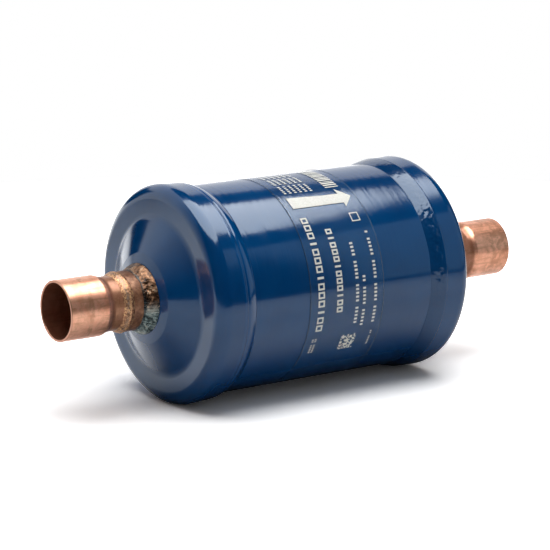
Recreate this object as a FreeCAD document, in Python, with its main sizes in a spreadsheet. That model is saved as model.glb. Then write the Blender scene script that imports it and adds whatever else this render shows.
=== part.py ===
import FreeCAD, Part

# Filter drier for a refrigeration line: a steel tube closed by two drawn end caps, with a copper
# solder socket brazed in each end. Inside, a spring holds a desiccant bed between two perforated
# plates. Millimetres. The flow runs along +X, +Z is up, and the origin is the middle of the part
# on its axis. Each turned piece is drawn as a half section: x along the axis, y from the axis.
# The two ends are alike, so the inlet's pieces are the outlet's turned end for end.

import os

import Sketcher

# Holes of a perforated plate: one in the middle, then rings of 6, 12 and 18
HOLE_RINGS = 3
HOLES_IN_FIRST_RING = 6

# Driving sizes, each named once
SIZES = {
    # Shell tube
    "shell_radius": 36.1,
    "shell_wall": 1.6,
    "shell_end": 47.0,
    # Drawn end cap: skirt, flat ring, cone and boss, from the rim to the neck
    "cap_gap": 0.05,
    "cap_wall": 2.0,
    "cap_overrun": 6.5,
    "skirt_length": 11.7,
    "skirt_drop": 0.5,
    "ring_band": 10.95,
    "cone_angle": 27.7,
    "boss_radius": 15.6,
    "boss_angle": 18.0,
    "corner_round": 4.7,
    "corner_inside_round": 1.5,
    "skirt_round": 0.6,
    "foot_round": 5.0,
    "boss_round": 1.5,
    # Seam weld in the angle between skirt and shell
    "weld_leg": 4.0,
    "weld_crown_back": 1.3,
    "weld_crown": 0.25,
    "weld_round": 2.0,
    # Stub tube through the cap's neck, and the braze round it
    "stub_wall": 0.8,
    "stub_reach": 8.9,
    "stub_inside": 1.8,
    "braze_gap": 0.05,
    "collar_height": 2.2,
    "collar_drop": 0.4,
    "collar_width": 1.1,
    "collar_reach": 3.5,
    "collar_round": 1.2,
    # Solder socket with its stop step and spigot
    "socket_bore": 9.55,
    "socket_wall": 0.85,
    "socket_depth": 14.7,
    "step_length": 2.7,
    "step_drop": 1.0,
    "spigot_reach": 6.3,
    "spigot_overlap": 8.0,
    "step_round": 1.8,
    "mouth_round": 0.25,
    # Braze bead at the stub's mouth
    "bead_back": 1.3,
    "bead_height": 0.3,
    "bead_front": 1.0,
    "bead_reach": 3.4,
    "bead_round": 1.0,
    # Inner pieces between the caps: the bed takes the length that the others leave
    "plate_clearance": 0.3,
    "bed_clearance": 0.1,
    "seat_gap": 0.05,
    "plate_wall": 1.2,
    "support_depth": 7.6,
    "support_round": 2.0,
    "screen_thickness": 0.8,
    "filter_thickness": 5.0,
    "felt_thickness": 3.0,
    "hole_radius": 2.2,
    "hole_margin": 7.2,
    "spring_length": 12.4,
    "spring_wire": 1.8,
    "spring_side_gap": 0.3,
    "spring_turns": 2.5,
    # Clear label film: its low edge is under the front, and it wraps over the top
    "film_gap": 0.05,
    "film_thickness": 0.15,
    "film_half_width": 15.7,
    "film_low_angle": -62.0,
    "film_wrap": 236.0,
}

# Places that follow from the driving sizes
PLACES = {
    "shell_bore": "shell_radius - shell_wall",
    "shell_start": "-shell_end",
    "skirt_bore": "shell_radius + cap_gap",
    "cap_radius": "skirt_bore + cap_wall",
    "cap_crest": "shell_end + cap_overrun",
    "skirt_edge": "cap_crest - skirt_length",
    "skirt_radius": "cap_radius - skirt_drop",
    "foot_radius": "cap_radius - ring_band",
    "boss_x": "cap_crest + (foot_radius - boss_radius) * tan(cone_angle)",
    "spigot_bore": "socket_bore - step_drop",
    "spigot_radius": "spigot_bore + socket_wall",
    "stub_bore": "spigot_radius + braze_gap",
    "stub_radius": "stub_bore + stub_wall",
    "neck_hole": "stub_radius + braze_gap",
    "neck_x": "boss_x + (boss_radius - neck_hole) * tan(boss_angle)",
    "crest_inside": "cap_crest - cap_wall",
    "boss_inside": "boss_x - cap_wall",
    "neck_inside": "neck_x - cap_wall",
    "weld_top": "skirt_radius - skirt_round",
    "weld_crown_x": "skirt_edge - weld_crown_back",
    "weld_crown_radius": "weld_top + weld_crown",
    "weld_toe": "skirt_edge - weld_leg",
    "socket_radius": "socket_bore + socket_wall",
    "stub_mouth": "neck_x + stub_reach",
    "step_x": "stub_mouth + spigot_reach",
    "shoulder_x": "step_x + step_length",
    "socket_mouth": "shoulder_x + socket_depth",
    "spigot_end": "stub_mouth - spigot_overlap",
    "stub_end": "neck_inside - stub_inside",
    "collar_radius": "stub_radius + collar_height",
    "collar_x": "boss_x + (boss_radius - collar_radius) * tan(boss_angle)",
    "collar_top_x": "collar_x + collar_width",
    "collar_top_radius": "collar_radius - collar_drop",
    "collar_end": "neck_x + collar_reach",
    "bead_start": "stub_mouth - bead_back",
    "bead_radius": "stub_radius + bead_height",
    "bead_front_x": "stub_mouth + bead_front",
    "bead_end": "stub_mouth + bead_reach",
    "cap_seat": "crest_inside - seat_gap",
    "plate_radius": "shell_bore - plate_clearance",
    "bed_radius": "shell_bore - bed_clearance",
    "cup_bore": "plate_radius - plate_wall",
    "hole_ring_step": "(plate_radius - hole_margin) / %d" % HOLE_RINGS,
    "spring_start": "-cap_seat",
    "spring_end": "spring_start + spring_length",
    "load_face": "spring_end + seat_gap",
    "felt_face": "load_face + plate_wall",
    "bed_face": "felt_face + felt_thickness",
    "support_face": "cap_seat - support_depth",
    "support_back": "support_face + plate_wall",
    "screen_face": "support_face - screen_thickness",
    "filter_face": "screen_face - filter_thickness",
    "wire_radius": "spring_wire / 2",
    "spring_radius": "shell_bore - spring_side_gap - wire_radius",
    "grind_low": "spring_start - spring_wire",
    "grind_high": "spring_end + spring_wire",
    "grind_inner": "spring_radius - spring_wire",
    "grind_outer": "spring_radius + spring_wire",
    "film_bore": "shell_radius + film_gap",
    "film_radius": "film_bore + film_thickness",
    "film_start": "-film_half_width",
    "film_turn": "180 - film_low_angle - film_wrap",
}

END_FOR_END = FreeCAD.Rotation(FreeCAD.Vector(0, 0, 1), 180)
ALONG_X = FreeCAD.Vector(1, 0, 0)

doc = FreeCAD.newDocument("FilterDrier")
nodes = []


def make_sheet():
    """The spreadsheet: driving sizes as plain numbers, and places as formulas of them."""
    sheet = doc.addObject("Spreadsheet::Sheet", "Sizes")
    cells = [(name, str(number)) for name, number in SIZES.items()]
    cells += [(name, "=" + formula) for name, formula in PLACES.items()]
    for row, (name, content) in enumerate(cells, start=1):
        sheet.set("A%d" % row, name)
        sheet.set("B%d" % row, content)
        sheet.setAlias("B%d" % row, name)
    doc.recompute()
    return sheet


sheet = make_sheet()


def size(name):
    return float(sheet.get(name))


def new_body(name):
    """One sub-part: its Label names its file."""
    body = doc.addObject("PartDesign::Body", name)
    body.Label = name
    nodes.append(body)
    return body


def new_sketch(body, name, plane, offset=None):
    """A sketch on one of the body's own planes, moved along the plane's normal by a named size."""
    sketch = body.newObject("Sketcher::SketchObject", name)
    support = next(item for item in body.Origin.OriginFeatures if item.Role == plane)
    sketch.AttachmentSupport = [(support, "")]
    sketch.MapMode = "FlatFace"
    if offset:
        sketch.setExpression(".AttachmentOffset.Base.z", "Sizes." + offset)
    return sketch


def place_point(sketch, line, x_name, y_name):
    """Ties the start of one line of a section to its named place; no y name puts it on the axis."""
    sketch.addConstraint(Sketcher.Constraint("DistanceX", -1, 1, line, 1, size(x_name)))
    sketch.setExpression("Constraints[%d]" % (sketch.ConstraintCount - 1), "Sizes." + x_name)
    if y_name is None:
        sketch.addConstraint(Sketcher.Constraint("PointOnObject", line, 1, -1))
        return
    sketch.addConstraint(Sketcher.Constraint("DistanceY", -1, 1, line, 1, size(y_name)))
    sketch.setExpression("Constraints[%d]" % (sketch.ConstraintCount - 1), "Sizes." + y_name)


def draw_section(sketch, corners):
    """A closed outline of straight lines, each corner a pair of sheet names."""
    first = sketch.GeometryCount
    points = [FreeCAD.Vector(size(x), size(y) if y else 0.0, 0) for x, y in corners]
    for start, end in zip(points, points[1:] + points[:1]):
        sketch.addGeometry(Part.LineSegment(start, end))
    count = len(corners)
    for index in range(count):
        following = first + (index + 1) % count
        sketch.addConstraint(Sketcher.Constraint("Coincident", first + index, 2, following, 1))
    for index, (x_name, y_name) in enumerate(corners):
        place_point(sketch, first + index, x_name, y_name)


def turn(body, corners, angle=None):
    """Revolves a section about the X axis, all the way round or through a named angle."""
    sketch = new_sketch(body, body.Name + "_section", "XY_Plane")
    draw_section(sketch, corners)
    feature = body.newObject("PartDesign::Revolution", body.Name + "_turned")
    feature.Profile = sketch
    feature.ReferenceAxis = (sketch, ["H_Axis"])
    feature.Angle = 360
    if angle:
        feature.setExpression("Angle", "Sizes." + angle)
    doc.recompute()
    return feature


def round_corners(body, radius, corners):
    """Fillets the circular edges of a turned body that lie at the named corners."""
    base = body.Tip
    wanted = [(size(x), size(y)) for x, y in corners]
    names = []
    for number, edge in enumerate(base.Shape.Edges, start=1):
        if not isinstance(edge.Curve, Part.Circle):
            continue
        x, y = edge.Curve.Center.x, edge.Curve.Radius
        if any(abs(x - a) < 0.001 and abs(y - b) < 0.001 for a, b in wanted):
            names.append("Edge%d" % number)
    if len(names) != len(wanted):
        raise RuntimeError("%s: %d edges for %d corners" % (body.Label, len(names), len(wanted)))
    fillet = body.newObject("PartDesign::Fillet", "%s_%s" % (body.Name, radius))
    fillet.Base = (base, names)
    fillet.setExpression("Radius", "Sizes." + radius)
    doc.recompute()
    return fillet


def drill(body, ring):
    """One hole of a perforated plate, then its ring of copies about the X axis."""
    before = body.Tip.Shape.Volume
    sketch = new_sketch(body, "%s_hole_%d" % (body.Name, ring), "YZ_Plane")
    sketch.addGeometry(Part.Circle(FreeCAD.Vector(0, ring * size("hole_ring_step"), 0),
                                   FreeCAD.Vector(0, 0, 1), size("hole_radius")))
    sketch.addConstraint(Sketcher.Constraint("PointOnObject", 0, 3, -2))
    sketch.addConstraint(Sketcher.Constraint("Radius", 0, size("hole_radius")))
    sketch.setExpression("Constraints[1]", "Sizes.hole_radius")
    if ring:
        sketch.addConstraint(Sketcher.Constraint("DistanceY", -1, 1, 0, 3,
                                                 ring * size("hole_ring_step")))
        sketch.setExpression("Constraints[2]", "%d * Sizes.hole_ring_step" % ring)
    else:
        sketch.addConstraint(Sketcher.Constraint("PointOnObject", 0, 3, -1))
    pocket = body.newObject("PartDesign::Pocket", "%s_bore_%d" % (body.Name, ring))
    pocket.Profile = sketch
    pocket.Type = "ThroughAll"
    pocket.Midplane = True
    doc.recompute()
    if ring:
        pattern = body.newObject("PartDesign::PolarPattern", "%s_ring_%d" % (body.Name, ring))
        pattern.Originals = [pocket]
        pattern.Axis = (sketch, ["N_Axis"])
        pattern.Angle = 360
        pattern.Occurrences = ring * HOLES_IN_FIRST_RING
        body.Tip = pattern
        doc.recompute()
    if not body.Tip.Shape.Volume < before - 0.001:
        raise RuntimeError("%s: hole ring %d cut nothing" % (body.Label, ring))


def perforate(body):
    """A hole in the middle and rings of 6, 12 and 18 round it."""
    for ring in range(HOLE_RINGS + 1):
        drill(body, ring)


def disc(name, start, end, radius):
    """A flat round plate or pad between two named faces."""
    body = new_body(name)
    turn(body, [(start, None), (start, radius), (end, radius), (end, None)])
    return body


def end_cap(name):
    """Drawn steel cap: one sheet from the skirt's edge over the rim to the neck hole."""
    body = new_body(name)
    turn(body, [("skirt_edge", "skirt_radius"), ("cap_crest", "cap_radius"),
                ("cap_crest", "foot_radius"), ("boss_x", "boss_radius"), ("neck_x", "neck_hole"),
                ("neck_inside", "neck_hole"), ("boss_inside", "boss_radius"),
                ("crest_inside", "foot_radius"), ("crest_inside", "skirt_bore"),
                ("skirt_edge", "skirt_bore")])
    round_corners(body, "corner_round", [("cap_crest", "cap_radius")])
    round_corners(body, "corner_inside_round", [("crest_inside", "skirt_bore")])
    round_corners(body, "foot_round", [("cap_crest", "foot_radius"), ("crest_inside", "foot_radius")])
    round_corners(body, "boss_round", [("boss_x", "boss_radius"), ("boss_inside", "boss_radius")])
    round_corners(body, "skirt_round", [("skirt_edge", "skirt_radius")])
    return body


def seam_weld(name):
    """Convex bead in the angle between the cap's skirt and the shell."""
    body = new_body(name)
    turn(body, [("skirt_edge", "shell_radius"), ("skirt_edge", "weld_top"),
                ("weld_crown_x", "weld_crown_radius"), ("weld_toe", "shell_radius")])
    round_corners(body, "weld_round", [("weld_crown_x", "weld_crown_radius")])
    return body


def stub_tube(name):
    """Short tube that passes through the cap's neck and takes the socket's spigot."""
    body = new_body(name)
    turn(body, [("stub_end", "stub_bore"), ("stub_end", "stub_radius"),
                ("stub_mouth", "stub_radius"), ("stub_mouth", "stub_bore")])
    return body


def collar_braze(name):
    """Heavy braze fillet that lies on the boss's slope and runs out on the stub."""
    body = new_body(name)
    turn(body, [("neck_x", "stub_radius"), ("neck_x", "neck_hole"), ("collar_x", "collar_radius"),
                ("collar_top_x", "collar_top_radius"), ("collar_end", "stub_radius")])
    round_corners(body, "collar_round", [("collar_top_x", "collar_top_radius")])
    return body


def solder_socket(name):
    """Expanded copper tube: socket for the line, a step that stops it, and a spigot."""
    body = new_body(name)
    turn(body, [("spigot_end", "spigot_bore"), ("spigot_end", "spigot_radius"),
                ("step_x", "spigot_radius"), ("shoulder_x", "socket_radius"),
                ("socket_mouth", "socket_radius"), ("socket_mouth", "socket_bore"),
                ("shoulder_x", "socket_bore"), ("step_x", "spigot_bore")])
    round_corners(body, "step_round", [("step_x", "spigot_radius"), ("shoulder_x", "socket_radius"),
                                       ("step_x", "spigot_bore"), ("shoulder_x", "socket_bore")])
    round_corners(body, "mouth_round", [("socket_mouth", "socket_radius"),
                                        ("socket_mouth", "socket_bore")])
    return body


def mouth_braze(name):
    """Thin braze bead over the stub's mouth, feathered out along the spigot."""
    body = new_body(name)
    turn(body, [("stub_mouth", "spigot_radius"), ("stub_mouth", "stub_radius"),
                ("bead_start", "stub_radius"), ("stub_mouth", "bead_radius"),
                ("bead_front_x", "stub_radius"), ("bead_end", "spigot_radius")])
    round_corners(body, "bead_round", [("stub_mouth", "bead_radius"),
                                       ("bead_front_x", "stub_radius")])
    return body


def end_pieces():
    """Everything that each end has, at the outlet as drawn and at the inlet turned round."""
    makers = {"end_cap": end_cap, "seam_weld": seam_weld, "stub": stub_tube,
              "stub_braze": collar_braze, "socket": solder_socket, "socket_braze": mouth_braze}
    for piece, make in makers.items():
        make("outlet_" + piece)
        make("inlet_" + piece).Placement = FreeCAD.Placement(FreeCAD.Vector(), END_FOR_END)


def shell_tube():
    body = new_body("shell_tube")
    turn(body, [("shell_start", "shell_bore"), ("shell_start", "shell_radius"),
                ("shell_end", "shell_radius"), ("shell_end", "shell_bore")])


def support_plate():
    """Perforated cup: its disc carries the bed, and its rim stands on the outlet cap."""
    body = new_body("outlet_support_plate")
    turn(body, [("support_face", None), ("support_face", "plate_radius"),
                ("cap_seat", "plate_radius"), ("cap_seat", "cup_bore"),
                ("support_back", "cup_bore"), ("support_back", None)])
    round_corners(body, "support_round", [("support_face", "plate_radius")])
    perforate(body)


def load_plate():
    """Perforated disc between the spring and the felt."""
    perforate(disc("inlet_load_plate", "load_face", "felt_face", "plate_radius"))


def pressure_spring():
    """Compression spring with ground ends, between the inlet cap's ring and the load plate."""
    body = new_body("pressure_spring")
    wire = new_sketch(body, "spring_wire_section", "XY_Plane")
    centre = FreeCAD.Vector(size("spring_start"), size("spring_radius"), 0)
    wire.addGeometry(Part.Circle(centre, FreeCAD.Vector(0, 0, 1), size("wire_radius")))
    wire.addConstraint(Sketcher.Constraint("DistanceX", -1, 1, 0, 3, centre.x))
    wire.addConstraint(Sketcher.Constraint("DistanceY", -1, 1, 0, 3, centre.y))
    wire.addConstraint(Sketcher.Constraint("Radius", 0, size("wire_radius")))
    wire.setExpression("Constraints[0]", "Sizes.spring_start")
    wire.setExpression("Constraints[1]", "Sizes.spring_radius")
    wire.setExpression("Constraints[2]", "Sizes.wire_radius")
    coil = body.newObject("PartDesign::AdditiveHelix", "spring_coil")
    coil.Profile = wire
    coil.ReferenceAxis = (wire, ["H_Axis"])
    coil.Mode = "height-turns-angle"
    coil.setExpression("Height", "Sizes.spring_length")
    coil.setExpression("Turns", "Sizes.spring_turns")
    doc.recompute()
    before = coil.Shape.Volume
    ends = new_sketch(body, "spring_ends", "XY_Plane")
    for face, beyond in (("spring_start", "grind_low"), ("spring_end", "grind_high")):
        draw_section(ends, [(face, "grind_inner"), (face, "grind_outer"),
                            (beyond, "grind_outer"), (beyond, "grind_inner")])
    ground = body.newObject("PartDesign::Groove", "spring_ground_ends")
    ground.Profile = ends
    ground.ReferenceAxis = (ends, ["H_Axis"])
    ground.Angle = 360
    doc.recompute()
    if not ground.Shape.Volume < before - 0.001:
        raise RuntimeError("the spring's ends were not ground")


def label_film():
    """Thin clear film on the shell, from under the front over the top to the back."""
    body = new_body("label_film")
    turn(body, [("film_start", "film_bore"), ("film_start", "film_radius"),
                ("film_half_width", "film_radius"), ("film_half_width", "film_bore")],
         angle="film_wrap")
    body.Placement = FreeCAD.Placement(FreeCAD.Vector(), FreeCAD.Rotation(ALONG_X, size("film_turn")))
    body.setExpression(".Placement.Rotation.Angle", "Sizes.film_turn")


def check_model():
    """Stops before anything is written if an object failed or a piece isn't one valid solid."""
    for item in doc.Objects:
        if {"Invalid", "Error"} & set(item.State):
            raise RuntimeError("%s: %s" % (item.Label, item.State))
    for body in nodes:
        shape = body.Shape
        if shape.isNull() or not shape.isValid() or len(shape.Solids) != 1:
            raise RuntimeError("%s: not one valid solid" % body.Label)


def write_parts():
    os.makedirs("parts", exist_ok=True)
    for body in nodes:
        body.Shape.exportStep("parts/%s.step" % body.Label)
        box = body.Shape.optimalBoundingBox()
        print("%-22s %9.1f mm3   x %6.2f to %6.2f   radius %5.2f" % (
            body.Label, body.Shape.Volume, box.XMin, box.XMax, box.YMax))


shell_tube()
end_pieces()
pressure_spring()
load_plate()
disc("inlet_felt_pad", "felt_face", "bed_face", "bed_radius")
disc("desiccant_bed", "bed_face", "filter_face", "bed_radius")
disc("outlet_filter_pad", "filter_face", "screen_face", "bed_radius")
disc("outlet_wire_screen", "screen_face", "support_face", "plate_radius")
support_plate()
label_film()
doc.recompute()
check_model()
write_parts()
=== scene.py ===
import math

import bpy
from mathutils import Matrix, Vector, noise


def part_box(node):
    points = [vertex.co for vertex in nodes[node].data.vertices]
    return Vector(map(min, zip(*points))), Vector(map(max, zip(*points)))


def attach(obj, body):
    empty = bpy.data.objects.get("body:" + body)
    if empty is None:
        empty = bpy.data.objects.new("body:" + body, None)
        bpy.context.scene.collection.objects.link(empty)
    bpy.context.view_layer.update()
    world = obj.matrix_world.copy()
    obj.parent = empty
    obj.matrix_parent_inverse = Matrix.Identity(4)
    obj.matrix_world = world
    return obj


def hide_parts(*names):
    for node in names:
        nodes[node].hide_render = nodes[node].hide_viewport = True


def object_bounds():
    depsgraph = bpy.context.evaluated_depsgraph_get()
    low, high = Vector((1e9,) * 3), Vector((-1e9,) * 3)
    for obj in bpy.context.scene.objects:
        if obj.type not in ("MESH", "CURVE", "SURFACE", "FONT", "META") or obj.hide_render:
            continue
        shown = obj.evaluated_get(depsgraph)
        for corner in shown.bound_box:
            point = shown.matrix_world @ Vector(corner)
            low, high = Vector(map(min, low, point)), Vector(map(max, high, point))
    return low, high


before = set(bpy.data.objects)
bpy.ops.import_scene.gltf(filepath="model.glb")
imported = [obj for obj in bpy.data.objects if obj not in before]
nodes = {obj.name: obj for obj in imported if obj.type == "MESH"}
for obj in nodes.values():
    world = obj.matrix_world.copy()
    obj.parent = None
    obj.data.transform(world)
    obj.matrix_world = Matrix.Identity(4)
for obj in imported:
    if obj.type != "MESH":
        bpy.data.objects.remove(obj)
cad_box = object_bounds()

# Sizes read from the frame (metres)
MM = 0.001
SHELL_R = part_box("shell_tube")[1].z
WELD_LO, WELD_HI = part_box("outlet_seam_weld")
COLLAR_LO, COLLAR_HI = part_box("outlet_stub_braze")
MOUTH_LO, MOUTH_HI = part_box("outlet_socket_braze")
STUB_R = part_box("outlet_stub")[1].z
SOCKET_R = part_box("outlet_socket")[1].z
SOCKET_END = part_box("outlet_socket")[1].x
FILM_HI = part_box("label_film")[1]
FLOOR_Z = cad_box[0][2]

# The socket's wide end runs from its mouth to the shoulder
SOCKET_LENGTH = 15.4 * MM
SHOULDER_X = SOCKET_END - SOCKET_LENGTH


def widest(node, x_from, x_to):
    """Largest radius of a CAD node between two places along the axis."""
    return max(
        math.hypot(v.co.y, v.co.z) for v in nodes[node].data.vertices if x_from <= v.co.x <= x_to
    )


SKIRT_R = widest("outlet_end_cap", WELD_HI.x, WELD_HI.x + 1.5 * MM)

# Camera
CAMERA_PLACE = Vector((-0.53618, -0.746236, 0.198481))
CAMERA_YAW = 0.618936
CAMERA_PITCH = -0.212084
CAMERA_LENS = 174.92
CAMERA_SENSOR = 36
CAMERA_NEAREST = 0.01


def add_camera():
    data = bpy.data.cameras.new("camera")
    data.sensor_width = CAMERA_SENSOR
    data.lens = CAMERA_LENS
    data.clip_start = CAMERA_NEAREST
    camera = bpy.data.objects.new("camera", data)
    camera.location = CAMERA_PLACE
    camera.rotation_euler = (math.pi / 2 + CAMERA_PITCH, 0, -CAMERA_YAW)
    bpy.context.collection.objects.link(camera)
    bpy.context.scene.camera = camera


# Node helpers
def add_node(tree, kind, inputs=None, **settings):
    """A shader node with its settings, and its inputs set to values or linked to sockets."""
    node = tree.nodes.new(kind)
    for key, value in settings.items():
        setattr(node, key, value)
    for key, value in (inputs or {}).items():
        if isinstance(value, bpy.types.NodeSocket):
            tree.links.new(value, node.inputs[key])
        else:
            node.inputs[key].default_value = value
    return node


def maths(tree, operation, a, b=0.0, clamp=False):
    return add_node(tree, "ShaderNodeMath", {0: a, 1: b}, operation=operation, use_clamp=clamp).outputs[0]


def plus(tree, a, b):
    return maths(tree, "ADD", a, b)


def minus(tree, a, b):
    return maths(tree, "SUBTRACT", a, b)


def times(tree, a, b):
    return maths(tree, "MULTIPLY", a, b)


def absolute(tree, a):
    return maths(tree, "ABSOLUTE", a)


def larger(tree, a, b):
    return maths(tree, "MAXIMUM", a, b)


def distance(tree, a, b):
    """Length of the line to (a, b)."""
    return maths(tree, "SQRT", plus(tree, times(tree, a, a), times(tree, b, b)))


def steps(tree, value, low, high, start=0.0, end=1.0):
    """start below low, end above high, and smooth between them."""
    return add_node(
        tree, "ShaderNodeMapRange",
        {"Value": value, "From Min": low, "From Max": high, "To Min": start, "To Max": end},
        interpolation_type="SMOOTHSTEP",
    ).outputs[0]


def between(tree, value, low, low_full, high_full, high):
    """1 from low_full to high_full, falling smoothly to 0 at low and at high."""
    return times(tree, steps(tree, value, low, low_full), steps(tree, value, high_full, high, 1.0, 0.0))


def mix_colour(tree, factor, a, b):
    node = add_node(tree, "ShaderNodeMix", data_type="RGBA")
    for slot, value in ((0, factor), (6, a), (7, b)):
        if isinstance(value, bpy.types.NodeSocket):
            tree.links.new(value, node.inputs[slot])
        elif slot == 0:
            node.inputs[slot].default_value = value
        else:
            node.inputs[slot].default_value = (*value, 1)
    return node.outputs[2]


def ramp_of(tree, value, stops):
    """Colours along a value. stops: (place, colour), from low to high."""
    ramp = add_node(tree, "ShaderNodeValToRGB", {0: value})
    for element, (position, colour) in zip(ramp.color_ramp.elements, (stops[0], stops[-1])):
        element.position = position
        element.color = (*colour, 1)
    for position, colour in stops[1:-1]:
        ramp.color_ramp.elements.new(position).color = (*colour, 1)
    return ramp.outputs[0]


def cloud(tree, vector, scale, detail=3.0, rough=0.55, distortion=0.0):
    return add_node(tree, "ShaderNodeTexNoise", {
        "Vector": vector, "Scale": scale, "Detail": detail, "Roughness": rough, "Distortion": distortion,
    }).outputs[0]


def stretched(tree, place, x, y, z):
    return add_node(
        tree, "ShaderNodeVectorMath", {0: place, 1: (x, y, z)}, operation="MULTIPLY"
    ).outputs[0]


def bump(tree, height, depth, normal=None):
    inputs = {"Height": height, "Distance": depth, "Strength": 1.0}
    if normal is not None:
        inputs["Normal"] = normal
    return add_node(tree, "ShaderNodeBump", inputs).outputs[0]


def new_material(name):
    """(material, its node tree, its shader, place in the object's frame)"""
    material = bpy.data.materials.new(name)
    material.use_nodes = True
    tree = material.node_tree
    place = add_node(tree, "ShaderNodeTexCoord").outputs["Object"]
    return material, tree, tree.nodes["Principled BSDF"], place


def along_axes(tree, place):
    """x, y and z of a place."""
    return tuple(add_node(tree, "ShaderNodeSeparateXYZ", {0: place}).outputs)


def give(tree, shader, **inputs):
    """Link or set the shader's inputs. An underscore in a key stands for a space."""
    for key, value in inputs.items():
        socket = shader.inputs[key.replace("_", " ")]
        if isinstance(value, bpy.types.NodeSocket):
            tree.links.new(value, socket)
        else:
            socket.default_value = value


# Paint
PAINT = (0.0006, 0.050, 0.170)
PAINT_DEEP = (0.0004, 0.039, 0.140)
PAINT_SHINE = (0.78, 0.9, 1.0, 1)
PAINT_IOR = 1.6


def paint(name, streak, peel, roughness, shade=1.0):
    """Navy gloss paint: long streaks round the part under it, fine orange peel on it. shade scales its
    colour: above 1 a painted highlight, below 1 painted shade.
    """
    material, tree, shader, place = new_material(name)
    patches = cloud(tree, place, 38.0, 3.0)
    # shade above 1 is a painted highlight, below 1 painted shade
    low, high = (tuple(shade * c for c in colour) for colour in (PAINT_DEEP, PAINT))
    lines = cloud(tree, stretched(tree, place, 1.0, 0.035, 0.035), 620.0, 4.0, 0.62)
    skin = cloud(tree, place, 420.0, 2.0, 0.5)
    give(
        tree, shader,
        Base_Color=mix_colour(tree, steps(tree, patches, 0.35, 0.65), low, high),
        Normal=bump(tree, skin, peel, bump(tree, lines, streak)),
        Roughness=steps(tree, lines, 0.3, 0.7, roughness, roughness + 0.06),
        IOR=PAINT_IOR,
        Specular_Tint=PAINT_SHINE,
    )
    return material


# Copper
COPPER_PALE = (1.0, 0.53, 0.355)
COPPER_DEEP = (0.98, 0.44, 0.28)
COPPER_DRAWN = (0.46, 0.19, 0.10)
COPPER_TURNED = (0.55, 0.25, 0.14)
COPPER_TARNISHED = (0.62, 0.27, 0.155)
COPPER_SPECK = (0.44, 0.18, 0.095)
COPPER_BURNT = (0.30, 0.13, 0.06)
BORE_BROWN = (0.24, 0.08, 0.04)
# Painted shade for the rim at the socket's mouth
LIP_PAINTED_SHADE = (0.50, 0.25, 0.17)

# Stains on the copper, and on the socket painted light and painted shade as well: from and to (mm past the
# shoulder), colour, amount
SOCKET_STAINS_AND_PAINTED_LIGHT = [
    # Painted light: the spigot lightened, where its corner by the step looks dark
    (-7.0, -1.7, (1.0, 0.60, 0.33), 0.8),
    # Painted shade: a dark band in the crease at the shoulder's step
    (-1.3, 0.7, (0.45, 0.20, 0.13), 0.35),
    (6.5, 8.5, (0.45, 0.20, 0.11), 0.4),
]
OUTLET_STAINS = [(4.5, 17.5, (0.40, 0.17, 0.085), 0.45)]
STUB_STAINS = [(-19.5, -8.0, (0.15, 0.065, 0.035), 0.9)]


def copper(name, stains_and_painted_light, tarnish=0.4, pale=COPPER_PALE, deep=COPPER_DEEP):
    """Bare copper, brown and clouded where the torch heated it. Its mouth's rim is browned as painted shade,
    and on the socket some bands are painted light and painted shade.
    """
    material, tree, shader, place = new_material(name)
    x, y, z = along_axes(tree, place)
    length = absolute(tree, x)
    drawn = cloud(tree, stretched(tree, place, 0.12, 1.0, 1.0), 700.0, 4.0, 0.6)
    turned = cloud(tree, stretched(tree, place, 1.0, 0.12, 0.12), 1500.0, 4.0, 0.65)
    clouds = cloud(tree, place, 130.0, 4.0, 0.6, 0.8)
    blots = cloud(tree, place, 420.0, 5.0, 0.65, 0.5)
    specks = cloud(tree, place, 1100.0, 3.0, 0.7)
    colour = mix_colour(tree, steps(tree, clouds, 0.38, 0.66), pale, deep)
    colour = mix_colour(tree, steps(tree, drawn, 0.48, 0.66, 0.0, 0.5), colour, COPPER_DRAWN)
    colour = mix_colour(tree, steps(tree, turned, 0.52, 0.68, 0.0, 0.12), colour, COPPER_TURNED)
    colour = mix_colour(tree, steps(tree, blots, 0.44, 0.62, 0.0, tarnish), colour, COPPER_TARNISHED)
    # Bands round the part: stains, and on the socket also painted light and painted shade
    for start, end, shade, amount in stains_and_painted_light:
        middle = SHOULDER_X + (start + end) / 2 * MM
        reach = (end - start) * MM
        off_middle = absolute(tree, minus(tree, length, middle))
        near = minus(tree, 1.0, steps(tree, off_middle, 0.3 * reach, 0.6 * reach))
        ragged = maths(tree, "MULTIPLY", near, steps(tree, blots, 0.32, 0.60), clamp=True)
        colour = mix_colour(tree, times(tree, ragged, amount), colour, shade)
    inside = steps(tree, distance(tree, y, z), SOCKET_R - 0.7 * MM, SOCKET_R - 0.3 * MM, 1.0, 0.0)
    colour = mix_colour(tree, times(tree, inside, 0.75), colour, BORE_BROWN)
    # Painted shade: the rim at the mouth browned to dim its reflection
    lip_shade = steps(tree, length, SOCKET_END - 0.5 * MM, SOCKET_END - 0.15 * MM, 0.0, 0.8)
    colour = mix_colour(tree, lip_shade, colour, LIP_PAINTED_SHADE)
    colour = mix_colour(tree, steps(tree, specks, 0.62, 0.76, 0.0, 0.45), colour, COPPER_SPECK)
    heated = steps(tree, length, SHOULDER_X - 1.5 * MM, SHOULDER_X, 1.0, 0.0)
    soot = steps(tree, cloud(tree, place, 640.0, 5.0, 0.7, 0.4), 0.44, 0.62, 0.0, 0.65)
    colour = mix_colour(tree, times(tree, heated, soot), colour, COPPER_BURNT)
    skin = bump(tree, turned, 0.005 * MM, bump(tree, drawn, 0.010 * MM))
    give(
        tree, shader,
        Base_Color=colour,
        Metallic=steps(tree, length, SHOULDER_X - 2 * MM, SHOULDER_X, 0.42, 0.76),
        Roughness=steps(tree, turned, 0.3, 0.7, 0.29, 0.35),
        Normal=bump(tree, blots, 0.018 * MM, skin),
    )
    return material
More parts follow.
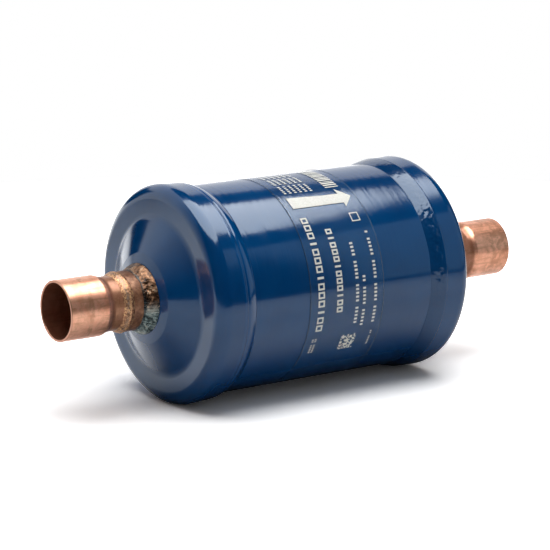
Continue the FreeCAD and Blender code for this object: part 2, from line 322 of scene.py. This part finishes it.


# Brazing alloy: colours from the hollows of its grain to the crests. Part is the alloy's own mottling; the
# near-black stops are painted shade in the hollows, and the warm ramp's top stop is a painted highlight on
# the crests.
BRAZE_WARM = [
    (0.38, (0.020, 0.014, 0.012)), (0.49, (0.12, 0.060, 0.032)), (0.58, (0.26, 0.135, 0.072)),
    (0.65, (0.46, 0.33, 0.22)), (0.73, (0.80, 0.76, 0.70)),
]
BRAZE_COLD = [
    (0.34, (0.020, 0.028, 0.028)), (0.44, (0.10, 0.14, 0.14)), (0.52, (0.30, 0.38, 0.37)),
    (0.60, (0.50, 0.55, 0.50)), (0.68, (0.70, 0.66, 0.56)),
]
BEAD_SILVER = [
    (0.38, (0.16, 0.085, 0.05)), (0.47, (0.34, 0.20, 0.13)), (0.58, (0.46, 0.36, 0.29)),
    (0.70, (0.42, 0.43, 0.43)),
]
BEAD_GOLD = [
    (0.40, (0.20, 0.085, 0.045)), (0.47, (0.42, 0.20, 0.11)), (0.56, (0.66, 0.36, 0.20)),
    (0.64, (0.74, 0.50, 0.22)),
]
FLUX_DARK = (0.035, 0.05, 0.055)
RIB_COUNT = 62.0


def braze(name):
    """Brazing alloy with burnt flux: gold and brown above, grey-green and ribbed below, with painted shade in
    the hollows of its grain and a painted highlight on the crests above.
    """
    material, tree, shader, place = new_material(name)
    x, y, z = along_axes(tree, place)
    length = absolute(tree, x)
    coarse = cloud(tree, place, 440.0, 5.0, 0.66, 0.8)
    fine = cloud(tree, place, 1500.0, 4.0, 0.7, 0.4)
    height = plus(tree, z, times(tree, coarse, 6 * MM))
    low = steps(tree, height, -1.0 * MM, 5.0 * MM, 1.0, 0.0)
    # Ramps on the same grain as the bump: the near-black ends are painted shade in its hollows, the warm
    # ramp's top a painted highlight on its crests
    colour = mix_colour(tree, low, ramp_of(tree, coarse, BRAZE_WARM), ramp_of(tree, coarse, BRAZE_COLD))
    # the thin bead at the stub's mouth is silver, with a gold fringe
    bead = steps(tree, length, COLLAR_HI.x + 2 * MM, COLLAR_HI.x + 3 * MM)
    bead_middle = (MOUTH_LO.x + MOUTH_HI.x) / 2 + 0.3 * MM
    ragged = absolute(tree, minus(tree, length, bead_middle))
    ragged = plus(tree, ragged, times(tree, minus(tree, fine, 0.5), 4.5 * MM))
    ragged = plus(tree, ragged, times(tree, minus(tree, coarse, 0.5), 3.0 * MM))
    fringe = steps(tree, ragged, 0.15 * MM, 0.50 * MM)
    thin = mix_colour(tree, fringe, ramp_of(tree, coarse, BEAD_SILVER), ramp_of(tree, fine, BEAD_GOLD))
    colour = mix_colour(tree, bead, colour, thin)
    # a dark line where the collar ends on the stub
    off_rim = absolute(tree, minus(tree, length, COLLAR_HI.x + 0.5 * MM))
    colour = mix_colour(tree, steps(tree, off_rim, 0.15 * MM, 0.60 * MM, 0.70, 0.0), colour, FLUX_DARK)
    around = maths(tree, "ARCTAN2", y, z)
    ribs = maths(tree, "SINE", plus(tree, times(tree, around, RIB_COUNT), times(tree, coarse, 9.0)))
    ribbed = times(tree, ribs, times(tree, low, minus(tree, 1.0, bead)))
    skin = bump(tree, ribbed, 0.10 * MM, bump(tree, coarse, 0.07 * MM))
    give(
        tree, shader,
        Base_Color=colour,
        Metallic=steps(tree, fine, 0.35, 0.65, 0.95, 0.6),
        Roughness=plus(tree, steps(tree, coarse, 0.35, 0.65, 0.24, 0.42), times(tree, bead, 0.14)),
        Normal=bump(tree, fine, 0.045 * MM, skin),
    )
    return material


# Steel, fibre, beads, screen, film and ink
def plain_metal(name, colour, roughness, grain, stretch):
    material, tree, shader, place = new_material(name)
    lines = cloud(tree, stretched(tree, place, *stretch), grain, 4.0, 0.6)
    dark = tuple(c * 0.7 for c in colour)
    give(
        tree, shader,
        Base_Color=mix_colour(tree, lines, dark, colour),
        Metallic=1.0,
        Roughness=steps(tree, lines, 0.3, 0.7, roughness, roughness + 0.15),
        Normal=bump(tree, lines, 0.01 * MM),
    )
    return material


def fibre(name, colour):
    material, tree, shader, place = new_material(name)
    hairs = cloud(tree, stretched(tree, place, 1.0, 0.3, 1.0), 2400.0, 5.0, 0.7, 1.5)
    dark = tuple(c * 0.55 for c in colour)
    give(
        tree, shader,
        Base_Color=mix_colour(tree, hairs, dark, colour),
        Roughness=0.95,
        Normal=bump(tree, hairs, 0.25 * MM),
    )
    return material


def beads(name):
    material, tree, shader, place = new_material(name)
    gap = add_node(tree, "ShaderNodeTexVoronoi", {"Vector": place, "Scale": 420.0}).outputs["Distance"]
    # Pale at each bead's middle, dark towards the gaps between beads: painted shade
    shade = steps(tree, gap, 0.1, 0.7)
    give(
        tree, shader,
        Base_Color=mix_colour(tree, shade, (0.80, 0.76, 0.66), (0.28, 0.24, 0.18)),
        Roughness=0.8,
        Normal=bump(tree, minus(tree, 1.0, gap), 1.0 * MM),
    )
    return material


WIRES_PER_METRE = 9000.0


def screen(name):
    material, tree, shader, place = new_material(name)
    _, y, z = along_axes(tree, place)
    warp = maths(tree, "SINE", times(tree, y, WIRES_PER_METRE))
    weft = maths(tree, "SINE", times(tree, z, WIRES_PER_METRE))
    weave = steps(tree, larger(tree, warp, weft), 0.2, 0.9)
    give(
        tree, shader,
        Base_Color=mix_colour(tree, weave, (0.05, 0.05, 0.05), (0.62, 0.61, 0.58)),
        Metallic=1.0,
        Roughness=0.35,
        Normal=bump(tree, weave, 0.1 * MM),
    )
    return material


FILM_HAZE = (0.30, 0.45, 0.62)
FILM_EDGE_SHADE = (0.02, 0.05, 0.10)


def film(name):
    """Clear film: nearly unseen on its face, a faint dark line of painted shade along its cut edges."""
    material, tree, shader, place = new_material(name)
    x = along_axes(tree, place)[0]
    outward = add_node(
        tree, "ShaderNodeVectorMath", {0: stretched(tree, place, 0.0, 1.0, 1.0)}, operation="NORMALIZE"
    ).outputs[0]
    normal = add_node(tree, "ShaderNodeNewGeometry").outputs["Normal"]
    facing = add_node(
        tree, "ShaderNodeVectorMath", {0: outward, 1: normal}, operation="DOT_PRODUCT"
    ).outputs["Value"]
    # Painted shade: a faint dark line on the cut edges and on the face just inside the ends
    cut = steps(tree, absolute(tree, facing), 0.3, 0.8, 1.0, 0.0)
    line = steps(tree, absolute(tree, x), FILM_HI.x - 0.40 * MM, FILM_HI.x - 0.20 * MM)
    edge_shade = larger(tree, cut, times(tree, line, steps(tree, x, 0.0, 1 * MM, 1.0, 0.4)))
    dust = cloud(tree, place, 300.0, 3.0)
    haze = steps(tree, dust, 0.3, 0.7, 0.010, 0.016)
    give(
        tree, shader,
        Base_Color=mix_colour(tree, edge_shade, FILM_HAZE, FILM_EDGE_SHADE),
        Roughness=steps(tree, dust, 0.3, 0.7, 0.25, 0.35),
        Alpha=plus(tree, times(tree, edge_shade, 0.5), haze),
    )
    return material


INK_WORN = (0.70, 0.70, 0.64)
INK_WHITE = (0.84, 0.84, 0.79)


def ink(name):
    material, tree, shader, place = new_material(name)
    wear = cloud(tree, place, 1500.0, 4.0, 0.7)
    give(
        tree, shader,
        Base_Color=mix_colour(tree, steps(tree, wear, 0.3, 0.7), INK_WORN, INK_WHITE),
        Roughness=0.45,
        Normal=bump(tree, wear, 0.01 * MM),
    )
    return material


# Meshes
def make_piece(name, points, faces, material, smooth=True):
    mesh = bpy.data.meshes.new(name)
    mesh.from_pydata(points, [], faces)
    mesh.materials.append(material)
    mesh.validate()
    if smooth:
        mesh.shade_smooth()
    else:
        mesh.shade_flat()
    piece = bpy.data.objects.new(name, mesh)
    bpy.context.collection.objects.link(piece)
    return piece


def ring_piece(name, profile, around, material):
    """A closed ring: profile(angle) gives the same number of (x, radius) points for each angle."""
    points, faces = [], []
    count = len(profile(0.0))
    for i in range(around):
        angle = 2 * math.pi * i / around
        for x, r in profile(angle):
            points.append((x, -r * math.cos(angle), r * math.sin(angle)))
    for i in range(around):
        j = (i + 1) % around
        for k in range(count):
            m = (k + 1) % count
            faces.append((i * count + k, i * count + m, j * count + m, j * count + k))
    return make_piece(name, points, faces, material)


def replace_node(piece, node):
    """The piece stands in for the CAD node in the picture."""
    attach(piece, "root")
    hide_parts(node)


def rough(x, angle, scale, seed, radius):
    """Even noise on the part's skin, from -1 to 1."""
    place = Vector((x, radius * math.cos(angle), radius * math.sin(angle)))
    return noise.noise(place * scale + Vector((seed, 0.0, 0.0)))


def hill(value, middle, width):
    return math.exp(-((value - middle) / width) ** 2)


def turn_between(angle, middle):
    """Shortest turn from middle to angle, in degrees."""
    return (math.degrees(angle) - middle + 180) % 360 - 180


# Seam welds
WELD_ROWS = 22
WELD_STEPS_AROUND = 720
WELD_BURIED = 0.1 * MM
GROOVE_PLACE = 0.66
GROOVE_WIDTH = 0.08
LUMPY_PLACE = 28
LUMPY_REACH = 32


def weld_profile(side, toe, groove, bulge, lap, lumps):
    """The face of a fillet weld from the tube up to the cap's skirt, and its buried back.

    toe and lap: how far the weld runs past the CAD fillet on the tube and on the skirt.
    lumps(angle): how strongly its face wanders there.
    """
    foot = WELD_LO.x - toe
    top = WELD_HI.x + lap

    def profile(angle):
        outline = []
        lumpy = lumps(angle)
        shift = rough(0.0, angle, 90.0, 3.7, SHELL_R) * 0.5 * MM * lumpy
        for k in range(WELD_ROWS):
            t = k / (WELD_ROWS - 1)
            arch = math.sin(math.pi * t)
            x = foot + (top - foot) * t + shift * (1 - t) ** 2
            r = SHELL_R + (SKIRT_R + 0.03 * MM - SHELL_R) * t + bulge * arch
            r -= groove * hill(t, GROOVE_PLACE, GROOVE_WIDTH)
            wave = rough(x, angle, 700.0, 9.1, SHELL_R) + 0.5 * rough(x, angle, 1500.0, 4.2, SHELL_R)
            r += wave * 0.15 * MM * lumpy * arch
            r += rough(x, angle, 160.0, 1.3, SHELL_R) * 0.05 * MM * arch
            outline.append((side * x, r))
        outline.append((side * top, SHELL_R - WELD_BURIED))
        outline.append((side * foot, SHELL_R - WELD_BURIED))
        return outline

    return profile


def inlet_lumps(angle):
    """The inlet weld is even all round."""
    return 0.10


def outlet_lumps(angle):
    """The outlet weld is lumpy over its front."""
    return 0.22 + 0.95 * hill(turn_between(angle, LUMPY_PLACE), 0, LUMPY_REACH)


def add_seam_welds(inlet_material, outlet_material):
    inlet = weld_profile(
        -1, toe=0.0, groove=0.20 * MM, bulge=0.58 * MM, lap=2.3 * MM, lumps=inlet_lumps)
    outlet = weld_profile(
        1, toe=1.4 * MM, groove=0.0, bulge=0.18 * MM, lap=0.9 * MM, lumps=outlet_lumps)
    for node, profile, material in (
        ("inlet_seam_weld", inlet, inlet_material), ("outlet_seam_weld", outlet, outlet_material)
    ):
        piece = ring_piece(node + "_bead", profile, WELD_STEPS_AROUND, material)
        replace_node(piece, node)


# Brazes
BRAZE_STEPS_AROUND = 360
COLLAR_ROWS = 18
MOUTH_ROWS = 22
BEAD_PLACE = 0.30
BEAD_WIDTH = 0.20
INLET_SEED = 2.0
OUTLET_SEED = 11.0


def collar_profile(side, seed):
    """Braze round the cap's neck: its edge on the cap and its edge on the tube both wander."""
    back = COLLAR_LO.x
    front = COLLAR_HI.x

    def profile(angle):
        outline = []
        wander = rough(0.0, angle, 260.0, seed, STUB_R)
        wander_front = rough(0.0, angle, 330.0, seed + 5, STUB_R)
        start = back + 0.35 * MM * wander
        end = front + 0.8 * MM + 0.5 * MM * wander_front
        top = COLLAR_HI.z - 0.25 * MM + 0.15 * MM * wander
        for k in range(COLLAR_ROWS):
            t = k / (COLLAR_ROWS - 1)
            x = start + (end - start) * t
            drop = (1 - math.cos(math.pi * t)) / 2
            r = top + (STUB_R + 0.02 * MM - top) * drop
            lump = rough(x, angle, 700.0, seed + 2, STUB_R) + 0.5 * rough(x, angle, 1700.0, seed + 3, STUB_R)
            r += 0.28 * MM * lump * math.sin(math.pi * t)
            outline.append((side * x, max(r, STUB_R + 0.01 * MM)))
        outline.append((side * (front + 0.3 * MM), STUB_R - 0.05 * MM))
        outline.append((side * (back + 0.2 * MM), STUB_R - 0.05 * MM))
        return outline

    return profile


def mouth_profile(side, seed):
    """Braze at the stub's mouth: a thin uneven bead with a smear on each side."""
    back = MOUTH_LO.x
    front = MOUTH_HI.x
    inner = SOCKET_R - 1.0 * MM

    def profile(angle):
        outline = []
        wander = rough(0.0, angle, 240.0, seed, STUB_R)
        for k in range(MOUTH_ROWS):
            t = k / (MOUTH_ROWS - 1)
            x = back + 0.4 * MM + 0.4 * MM * wander * (1 - t) + (front - back - 0.9 * MM) * t
            lowest = STUB_R if x < front - 3.4 * MM else inner
            fall = max(0.0, (t - BEAD_PLACE) / (1 - BEAD_PLACE))
            r = STUB_R + 0.27 * MM * hill(t, BEAD_PLACE, BEAD_WIDTH) - (STUB_R - inner) * fall ** 1.6
            r += 0.10 * MM * rough(x, angle, 900.0, seed + 2, STUB_R) * math.sin(math.pi * t)
            outline.append((side * x, min(max(r, lowest), MOUTH_HI.z)))
        outline.append((side * (front - 0.5 * MM), inner - 0.3 * MM))
        outline.append((side * (back + 0.6 * MM), STUB_R - 0.3 * MM))
        return outline

    return profile


def add_brazes(material):
    for end, side, seed in (("inlet", -1, INLET_SEED), ("outlet", 1, OUTLET_SEED)):
        for node, profile in ((end + "_stub_braze", collar_profile), (end + "_socket_braze", mouth_profile)):
            piece = ring_piece(node + "_bead", profile(side, seed), BRAZE_STEPS_AROUND, material)
            replace_node(piece, node)


# Print on the film: x and widths in mm, angles and pitches in degrees up from the front
PRINT_R = FILM_HI.z + 0.02 * MM
ARROW_SHAFT = [(-12.6, 53.0, 61.5), (-5.0, 53.0, 60.8), (2.0, 53.0, 60.2), (8.9, 53.0, 60.0)]
ARROW_HEAD = [(8.9, 50.0, 64.2), (11.2, 53.6, 60.8), (13.4, 57.2, 57.4)]

# Rows of print: x, lowest angle, count, pitch, width
BOLD_ROWS = [(-11.0, -18.7, 14, 4.7, 2.7), (-3.2, -9.0, 12, 3.95, 2.5)]
FINE_ROWS = [(4.2, -17.0, 22, 2.1, 1.3), (7.2, -19.0, 14, 2.1, 1.2), (12.0, -18.0, 25, 2.1, 1.2)]
TINY_ROWS = [(x, -33.0, 8, 1.25, 0.7) for x in (-12.4, -11.2, 12.35)]
TOP_ROWS = [(-11.0 + 2.2 * k, 65.3, 16, 1.7, 1.0) for k in range(6)]
BOLD_STROKE = 0.62

# Open square over the fine rows: x, lowest and highest angle, width, stroke
OPEN_SQUARE = (10.0, 40.0, 45.6, 3.6, 0.4)

# Square of blocks
BLOCKS = 12
BLOCK_X = -0.2
BLOCK_WIDTH = 0.53
BLOCK_LOW = -34.0
BLOCK_TURN = 0.85

# Stripes over the arrow
STRIPES = 15
STRIPE_X = 9.1
STRIPE_LENGTH = 5.6
STRIPE_LOW = 66.3
STRIPE_PITCH = 1.9
STRIPE_THIN = 0.75
STRIPE_STEP = 0.4


def add_patch(points, faces, columns, rows):
    """A patch on the film. columns: (x, low angle, high angle)."""
    first = len(points)
    for x, low, high in columns:
        for k in range(rows + 1):
            angle = math.radians(low + (high - low) * k / rows)
            points.append((x * MM, -PRINT_R * math.cos(angle), PRINT_R * math.sin(angle)))
    for i in range(len(columns) - 1):
        for k in range(rows):
            a = first + i * (rows + 1) + k
            faces.append((a, a + 1, a + rows + 2, a + rows + 1))


def bar(points, faces, x, low, high, width):
    half = width / 2
    rows = max(1, int((high - low) / 2))
    add_patch(points, faces, [(x - half, low, high), (x + half, low, high)], rows)


def hollow_bar(points, faces, x, low, high, width, stroke):
    """A small open rectangle: two long sides and two short ones."""
    turn = math.degrees(stroke * MM / PRINT_R)
    inner = width - 2 * stroke
    for side in (-1, 1):
        bar(points, faces, x + side * (inner + stroke) / 2, low, high, stroke)
    bar(points, faces, x, low, low + turn, inner)
    bar(points, faces, x, high - turn, high, inner)


def row_of_rectangles(points, faces, x, start, count, pitch, width):
    """Open rectangles and thin bars one after another up the film."""
    for k in range(count):
        low = start + k * pitch
        if k % 4 == 2:
            bar(points, faces, x, low + 0.26 * pitch, low + 0.54 * pitch, width)
        else:
            hollow_bar(points, faces, x, low, low + 0.80 * pitch, width, BOLD_STROKE)


def row_of_dashes(points, faces, x, start, count, pitch, width):
    """Short dashes in groups of up to five up the film."""
    for k in range(count):
        if k % 6 != 5:
            low = start + k * pitch
            bar(points, faces, x, low, low + 0.55 * pitch, width)


def square_of_blocks(points, faces):
    """Small blocks set out by a plain formula."""
    for i in range(BLOCKS):
        for k in range(BLOCKS):
            if ((73 * i + 151 * k) ^ (29 * i * k)) % 7 > 2:
                left = BLOCK_X + BLOCK_WIDTH * i
                low = BLOCK_LOW + BLOCK_TURN * k
                high = low + BLOCK_TURN
                add_patch(points, faces, [(left, low, high), (left + BLOCK_WIDTH, low, high)], 1)


def add_print(material):
    points, faces = [], []
    add_patch(points, faces, ARROW_SHAFT, 6)
    add_patch(points, faces, ARROW_HEAD, 8)
    for row in BOLD_ROWS:
        row_of_rectangles(points, faces, *row)
    for row in FINE_ROWS:
        row_of_dashes(points, faces, *row)
    square_of_blocks(points, faces)
    hollow_bar(points, faces, *OPEN_SQUARE)
    for row in TINY_ROWS + TOP_ROWS:
        row_of_dashes(points, faces, *row)
    for k in range(STRIPES):
        low = STRIPE_LOW + STRIPE_PITCH * k
        bar(points, faces, STRIPE_X, low, low + STRIPE_THIN + STRIPE_STEP * (k * k % 3), STRIPE_LENGTH)
    piece = make_piece("label_print", points, faces, material)
    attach(piece, "root")


# Studio (metres and degrees)
LIGHT_HEIGHT = 0.5
LIGHT_LEVEL = 3.2
LIGHT_SHOWN = 5.6

# Corners of the overhead light: how far to the camera's right, how far away from the camera
LIGHT_OUTLINE = [
    (-0.34, -0.27), (-0.10, -0.335), (0.17, -0.30), (0.33, -0.13), (0.385, 0.037), (0.366, 0.12),
    (0.345, 0.174), (0.32, 0.232), (0.244, 0.321), (0.159, 0.346), (0.0, 0.22), (-0.14, 0.13),
    (-0.32, 0.05),
]

BACKDROP_DISTANCE = 0.95
BACKDROP_FOOT = -0.12
BACKDROP_FROM = 115
BACKDROP_TO = 286
BACKDROP_PANELS = 44
LOW_RISE = 38
HIGH_RISE = 62
RISE_FROM = 160
RISE_TO = 200
BACKDROP_SHOWN = 0.85
BACKDROP_LEVEL = 0.25
SIDE_CARD_ENDS = [(0.15, -0.235), (0.42, -0.05)]
SIDE_CARD_HEIGHTS = (-0.01, 0.26)
SIDE_CARD_TINT = (0.72, 0.9, 1.0, 1)
SIDE_CARD_SHOWN = 0.56
FLOOR_RADIUS = 0.42
FLOOR_EDGES = 96
PART_REACH = 0.045
SKY_FILL = 0.32


def across_view(s, t, z):
    """s to the camera's right, t away from it, both level."""
    right = Vector((math.cos(CAMERA_YAW), -math.sin(CAMERA_YAW), 0))
    away = Vector((math.sin(CAMERA_YAW), math.cos(CAMERA_YAW), 0))
    return s * right + t * away + Vector((0, 0, z))


def light_tree(name):
    """(material, its node tree, its Light Path outputs, its emission node)"""
    material = bpy.data.materials.new(name)
    material.use_nodes = True
    tree = material.node_tree
    tree.nodes.clear()
    path = add_node(tree, "ShaderNodeLightPath").outputs
    glow = add_node(tree, "ShaderNodeEmission")
    out = add_node(tree, "ShaderNodeOutputMaterial")
    tree.links.new(glow.outputs[0], out.inputs[0])
    return material, tree, path, glow


def add_card(name, points, faces, material):
    """A lit card that the camera doesn't see."""
    card = make_piece(name, points, faces, material, False)
    card.visible_camera = False


def add_overhead_light():
    """One soft light over the part. A polished surface shows it brighter than it lights a dull one."""
    material, tree, path, glow = light_tree("overhead_light")
    strength = plus(tree, times(tree, path["Is Glossy Ray"], LIGHT_SHOWN - LIGHT_LEVEL), LIGHT_LEVEL)
    give(tree, glow, Strength=strength)
    points = [across_view(s, t, LIGHT_HEIGHT) for s, t in LIGHT_OUTLINE]
    add_card("overhead_light", points, [tuple(range(len(points)))], material)


def backdrop_material():
    """Dimmer towards the front, with an opening low down behind the part."""
    material, tree, path, glow = light_tree("backdrop")
    x, y, height = along_axes(tree, add_node(tree, "ShaderNodeTexCoord").outputs["Object"])
    # turn is 0 to the part's left and grows towards its back
    turn = maths(tree, "ARCTAN2", y, times(tree, x, -1.0))
    dim = add_node(tree, "ShaderNodeMapRange", {
        "Value": turn, "From Min": math.radians(2), "From Max": math.radians(42)}).outputs[0]
    low_behind = times(
        tree, steps(tree, turn, math.radians(62), math.radians(74)), steps(tree, height, 0.0, 0.07, 1.0, 0.0))
    opening = times(
        tree,
        between(tree, turn, math.radians(63), math.radians(69), math.radians(94), math.radians(102)),
        between(tree, height, 0.04, 0.08, 0.34, 0.44))
    lit = times(tree, dim, steps(tree, opening, 0.0, 1.0, 1.0, 0.0))
    seen = plus(tree, times(tree, lit, BACKDROP_SHOWN), low_behind)
    strength = plus(tree, times(tree, path["Is Glossy Ray"], seen), times(tree, lit, BACKDROP_LEVEL))
    give(tree, glow, Strength=strength)
    return material


def add_backdrop():
    """White card behind the part and round its left, lower at its right end."""
    points = []
    for i in range(BACKDROP_PANELS + 1):
        turn = BACKDROP_FROM + (BACKDROP_TO - BACKDROP_FROM) * i / BACKDROP_PANELS
        azimuth = math.radians(turn)
        share = min(1.0, max(0.0, (turn - RISE_FROM) / (RISE_TO - RISE_FROM)))
        rise = LOW_RISE + (HIGH_RISE - LOW_RISE) * share
        for z in (BACKDROP_FOOT, BACKDROP_DISTANCE * math.tan(math.radians(rise))):
            points.append((BACKDROP_DISTANCE * math.sin(azimuth), -BACKDROP_DISTANCE * math.cos(azimuth), z))
    faces = [(2 * i, 2 * i + 1, 2 * i + 3, 2 * i + 2) for i in range(BACKDROP_PANELS)]
    add_card("backdrop", points, faces, backdrop_material())


def add_side_card():
    """Dim pale card to the right of the part, which only its right half reflects."""
    material, tree, path, glow = light_tree("side_card")
    give(tree, glow, Color=SIDE_CARD_TINT, Strength=times(tree, path["Is Glossy Ray"], SIDE_CARD_SHOWN))
    points = [(x, y, z) for x, y in SIDE_CARD_ENDS for z in SIDE_CARD_HEIGHTS]
    add_card("side_card", points, [(0, 1, 3, 2)], material)


def floor_material():
    """White to the camera, with the part's shadow, narrowed by painted light away from the part and past its
    outlet end. Polish and bounced light see it darkened near the part, a painted shadow, and polish sees
    painted light glowing away from the part and behind it.
    """
    material, tree, shader, place = new_material("floor")
    tree.nodes.remove(shader)
    x, y, _ = along_axes(tree, place)
    path = add_node(tree, "ShaderNodeLightPath").outputs
    grain = cloud(tree, place, 60.0, 2.0)
    seen = larger(tree, path["Is Camera Ray"], path["Is Transmission Ray"])
    beyond = larger(tree, minus(tree, absolute(tree, x), PART_REACH), 0.0)
    away = distance(tree, y, beyond)
    under = distance(tree, plus(tree, y, 0.008), beyond)
    pale = mix_colour(tree, grain, (0.79, 0.79, 0.79), (0.81, 0.81, 0.81))
    # Painted shadow: near the part, polish and bounced light see the floor darkened to 0.16
    dull = add_node(tree, "ShaderNodeBsdfDiffuse", {
        "Color": mix_colour(tree, steps(tree, under, 0.012, 0.036), (0.16, 0.16, 0.16), pale)})
    white = add_node(tree, "ShaderNodeBsdfDiffuse", {
        "Color": mix_colour(tree, grain, (1.58, 1.58, 1.58), (1.60, 1.60, 1.60))})
    cover = add_node(tree, "ShaderNodeMixShader", {0: seen, 1: dull.outputs[0], 2: white.outputs[0]})
    # Painted light for the camera: the floor glows more away from the part and past its outlet end, narrowing
    # its shadow
    painted_floor_light = plus(tree, steps(tree, away, 0.04, 0.10, 0.0, 0.35), steps(tree, x, 0.055, 0.075, 0.0, 0.15))
    # Painted light for polish: the floor glows away from the part and behind it, and not close to it, leaving
    # a painted shadow
    polish = plus(tree, steps(tree, away, 0.03, 0.06, 0.0, 0.18), steps(tree, away, 0.09, 0.14, 0.0, 0.16))
    rear = times(tree, steps(tree, y, 0.0, 0.03, 0.0, 0.40), steps(tree, y, 0.20, 0.32, 1.0, 0.3))
    shown = times(tree, path["Is Glossy Ray"], plus(tree, polish, rear))
    glow = add_node(tree, "ShaderNodeEmission", {"Strength": plus(tree, times(tree, seen, painted_floor_light), shown)})
    both = add_node(tree, "ShaderNodeAddShader", {0: cover.outputs[0], 1: glow.outputs[0]})
    out = next(n for n in tree.nodes if n.type == "OUTPUT_MATERIAL")
    tree.links.new(both.outputs[0], out.inputs[0])
    return material


def add_floor():
    """Plain round floor."""
    points = [(0, 0, 0)]
    for i in range(FLOOR_EDGES):
        angle = 2 * math.pi * i / FLOOR_EDGES
        points.append((FLOOR_RADIUS * math.cos(angle), FLOOR_RADIUS * math.sin(angle), 0))
    faces = [(0, 1 + i, 1 + (i + 1) % FLOOR_EDGES) for i in range(FLOOR_EDGES)]
    floor = make_piece("floor", points, faces, floor_material(), False)
    floor.location = (0, 0, FLOOR_Z)


def add_world():
    """White to the camera, a soft fill for dull surfaces and nothing for polish."""
    world = bpy.data.worlds.new("studio")
    bpy.context.scene.world = world
    world.use_nodes = True
    tree = world.node_tree
    tree.nodes.clear()
    path = add_node(tree, "ShaderNodeLightPath").outputs
    seen = larger(tree, path["Is Camera Ray"], path["Is Transmission Ray"])
    strength = plus(tree, seen, times(tree, path["Is Diffuse Ray"], SKY_FILL))
    sky = add_node(tree, "ShaderNodeBackground", {"Color": (1, 1, 1, 1), "Strength": strength})
    out = add_node(tree, "ShaderNodeOutputWorld")
    tree.links.new(sky.outputs[0], out.inputs[0])


# Dressing the CAD nodes
def dress(material, *names):
    for name in names:
        for slot in nodes[name].material_slots:
            slot.material = material


def dress_nodes():
    dress(paint("shell_paint", streak=0.055 * MM, peel=0.006 * MM, roughness=0.09), "shell_tube")
    dress(
        paint("cap_paint", streak=0.018 * MM, peel=0.006 * MM, roughness=0.10),
        "inlet_end_cap", "outlet_end_cap")
    dress(copper("socket_copper", SOCKET_STAINS_AND_PAINTED_LIGHT), "inlet_socket")
    dress(
        copper(
            "outlet_socket_copper", OUTLET_STAINS, tarnish=0.45,
            pale=(1.0, 0.50, 0.33), deep=(0.84, 0.39, 0.245)),
        "outlet_socket")
    dress(
        copper(
            "stub_copper", STUB_STAINS, tarnish=0.8,
            pale=(0.60, 0.33, 0.195), deep=(0.38, 0.18, 0.10)),
        "inlet_stub", "outlet_stub")
    dress(film("label_film"), "label_film")
    dress(
        plain_metal(
            "spring_steel", (0.42, 0.42, 0.43), roughness=0.28, grain=500.0, stretch=(1.0, 0.2, 1.0)),
        "pressure_spring")
    dress(
        plain_metal(
            "plate_steel", (0.55, 0.54, 0.52), roughness=0.3, grain=300.0, stretch=(1.0, 1.0, 1.0)),
        "inlet_load_plate", "outlet_support_plate")
    dress(fibre("felt", (0.62, 0.58, 0.50)), "inlet_felt_pad")
    dress(fibre("filter_fibre", (0.85, 0.84, 0.80)), "outlet_filter_pad")
    dress(beads("desiccant"), "desiccant_bed")
    dress(screen("screen_wire"), "outlet_wire_screen")


add_camera()
dress_nodes()
# Weld paints: the inlet's lightened as a painted highlight, the outlet's darkened as painted shade
add_seam_welds(
    paint("inlet_weld_paint_painted_highlight", streak=0.002 * MM, peel=0.010 * MM, roughness=0.06, shade=1.15),
    paint("outlet_weld_paint_painted_shade", streak=0.006 * MM, peel=0.016 * MM, roughness=0.13, shade=0.80))
add_brazes(braze("braze"))
add_print(ink("label_print"))

add_overhead_light()
add_backdrop()
add_side_card()
add_floor()
add_world()
bpy.context.scene.view_settings.view_transform = "Standard"
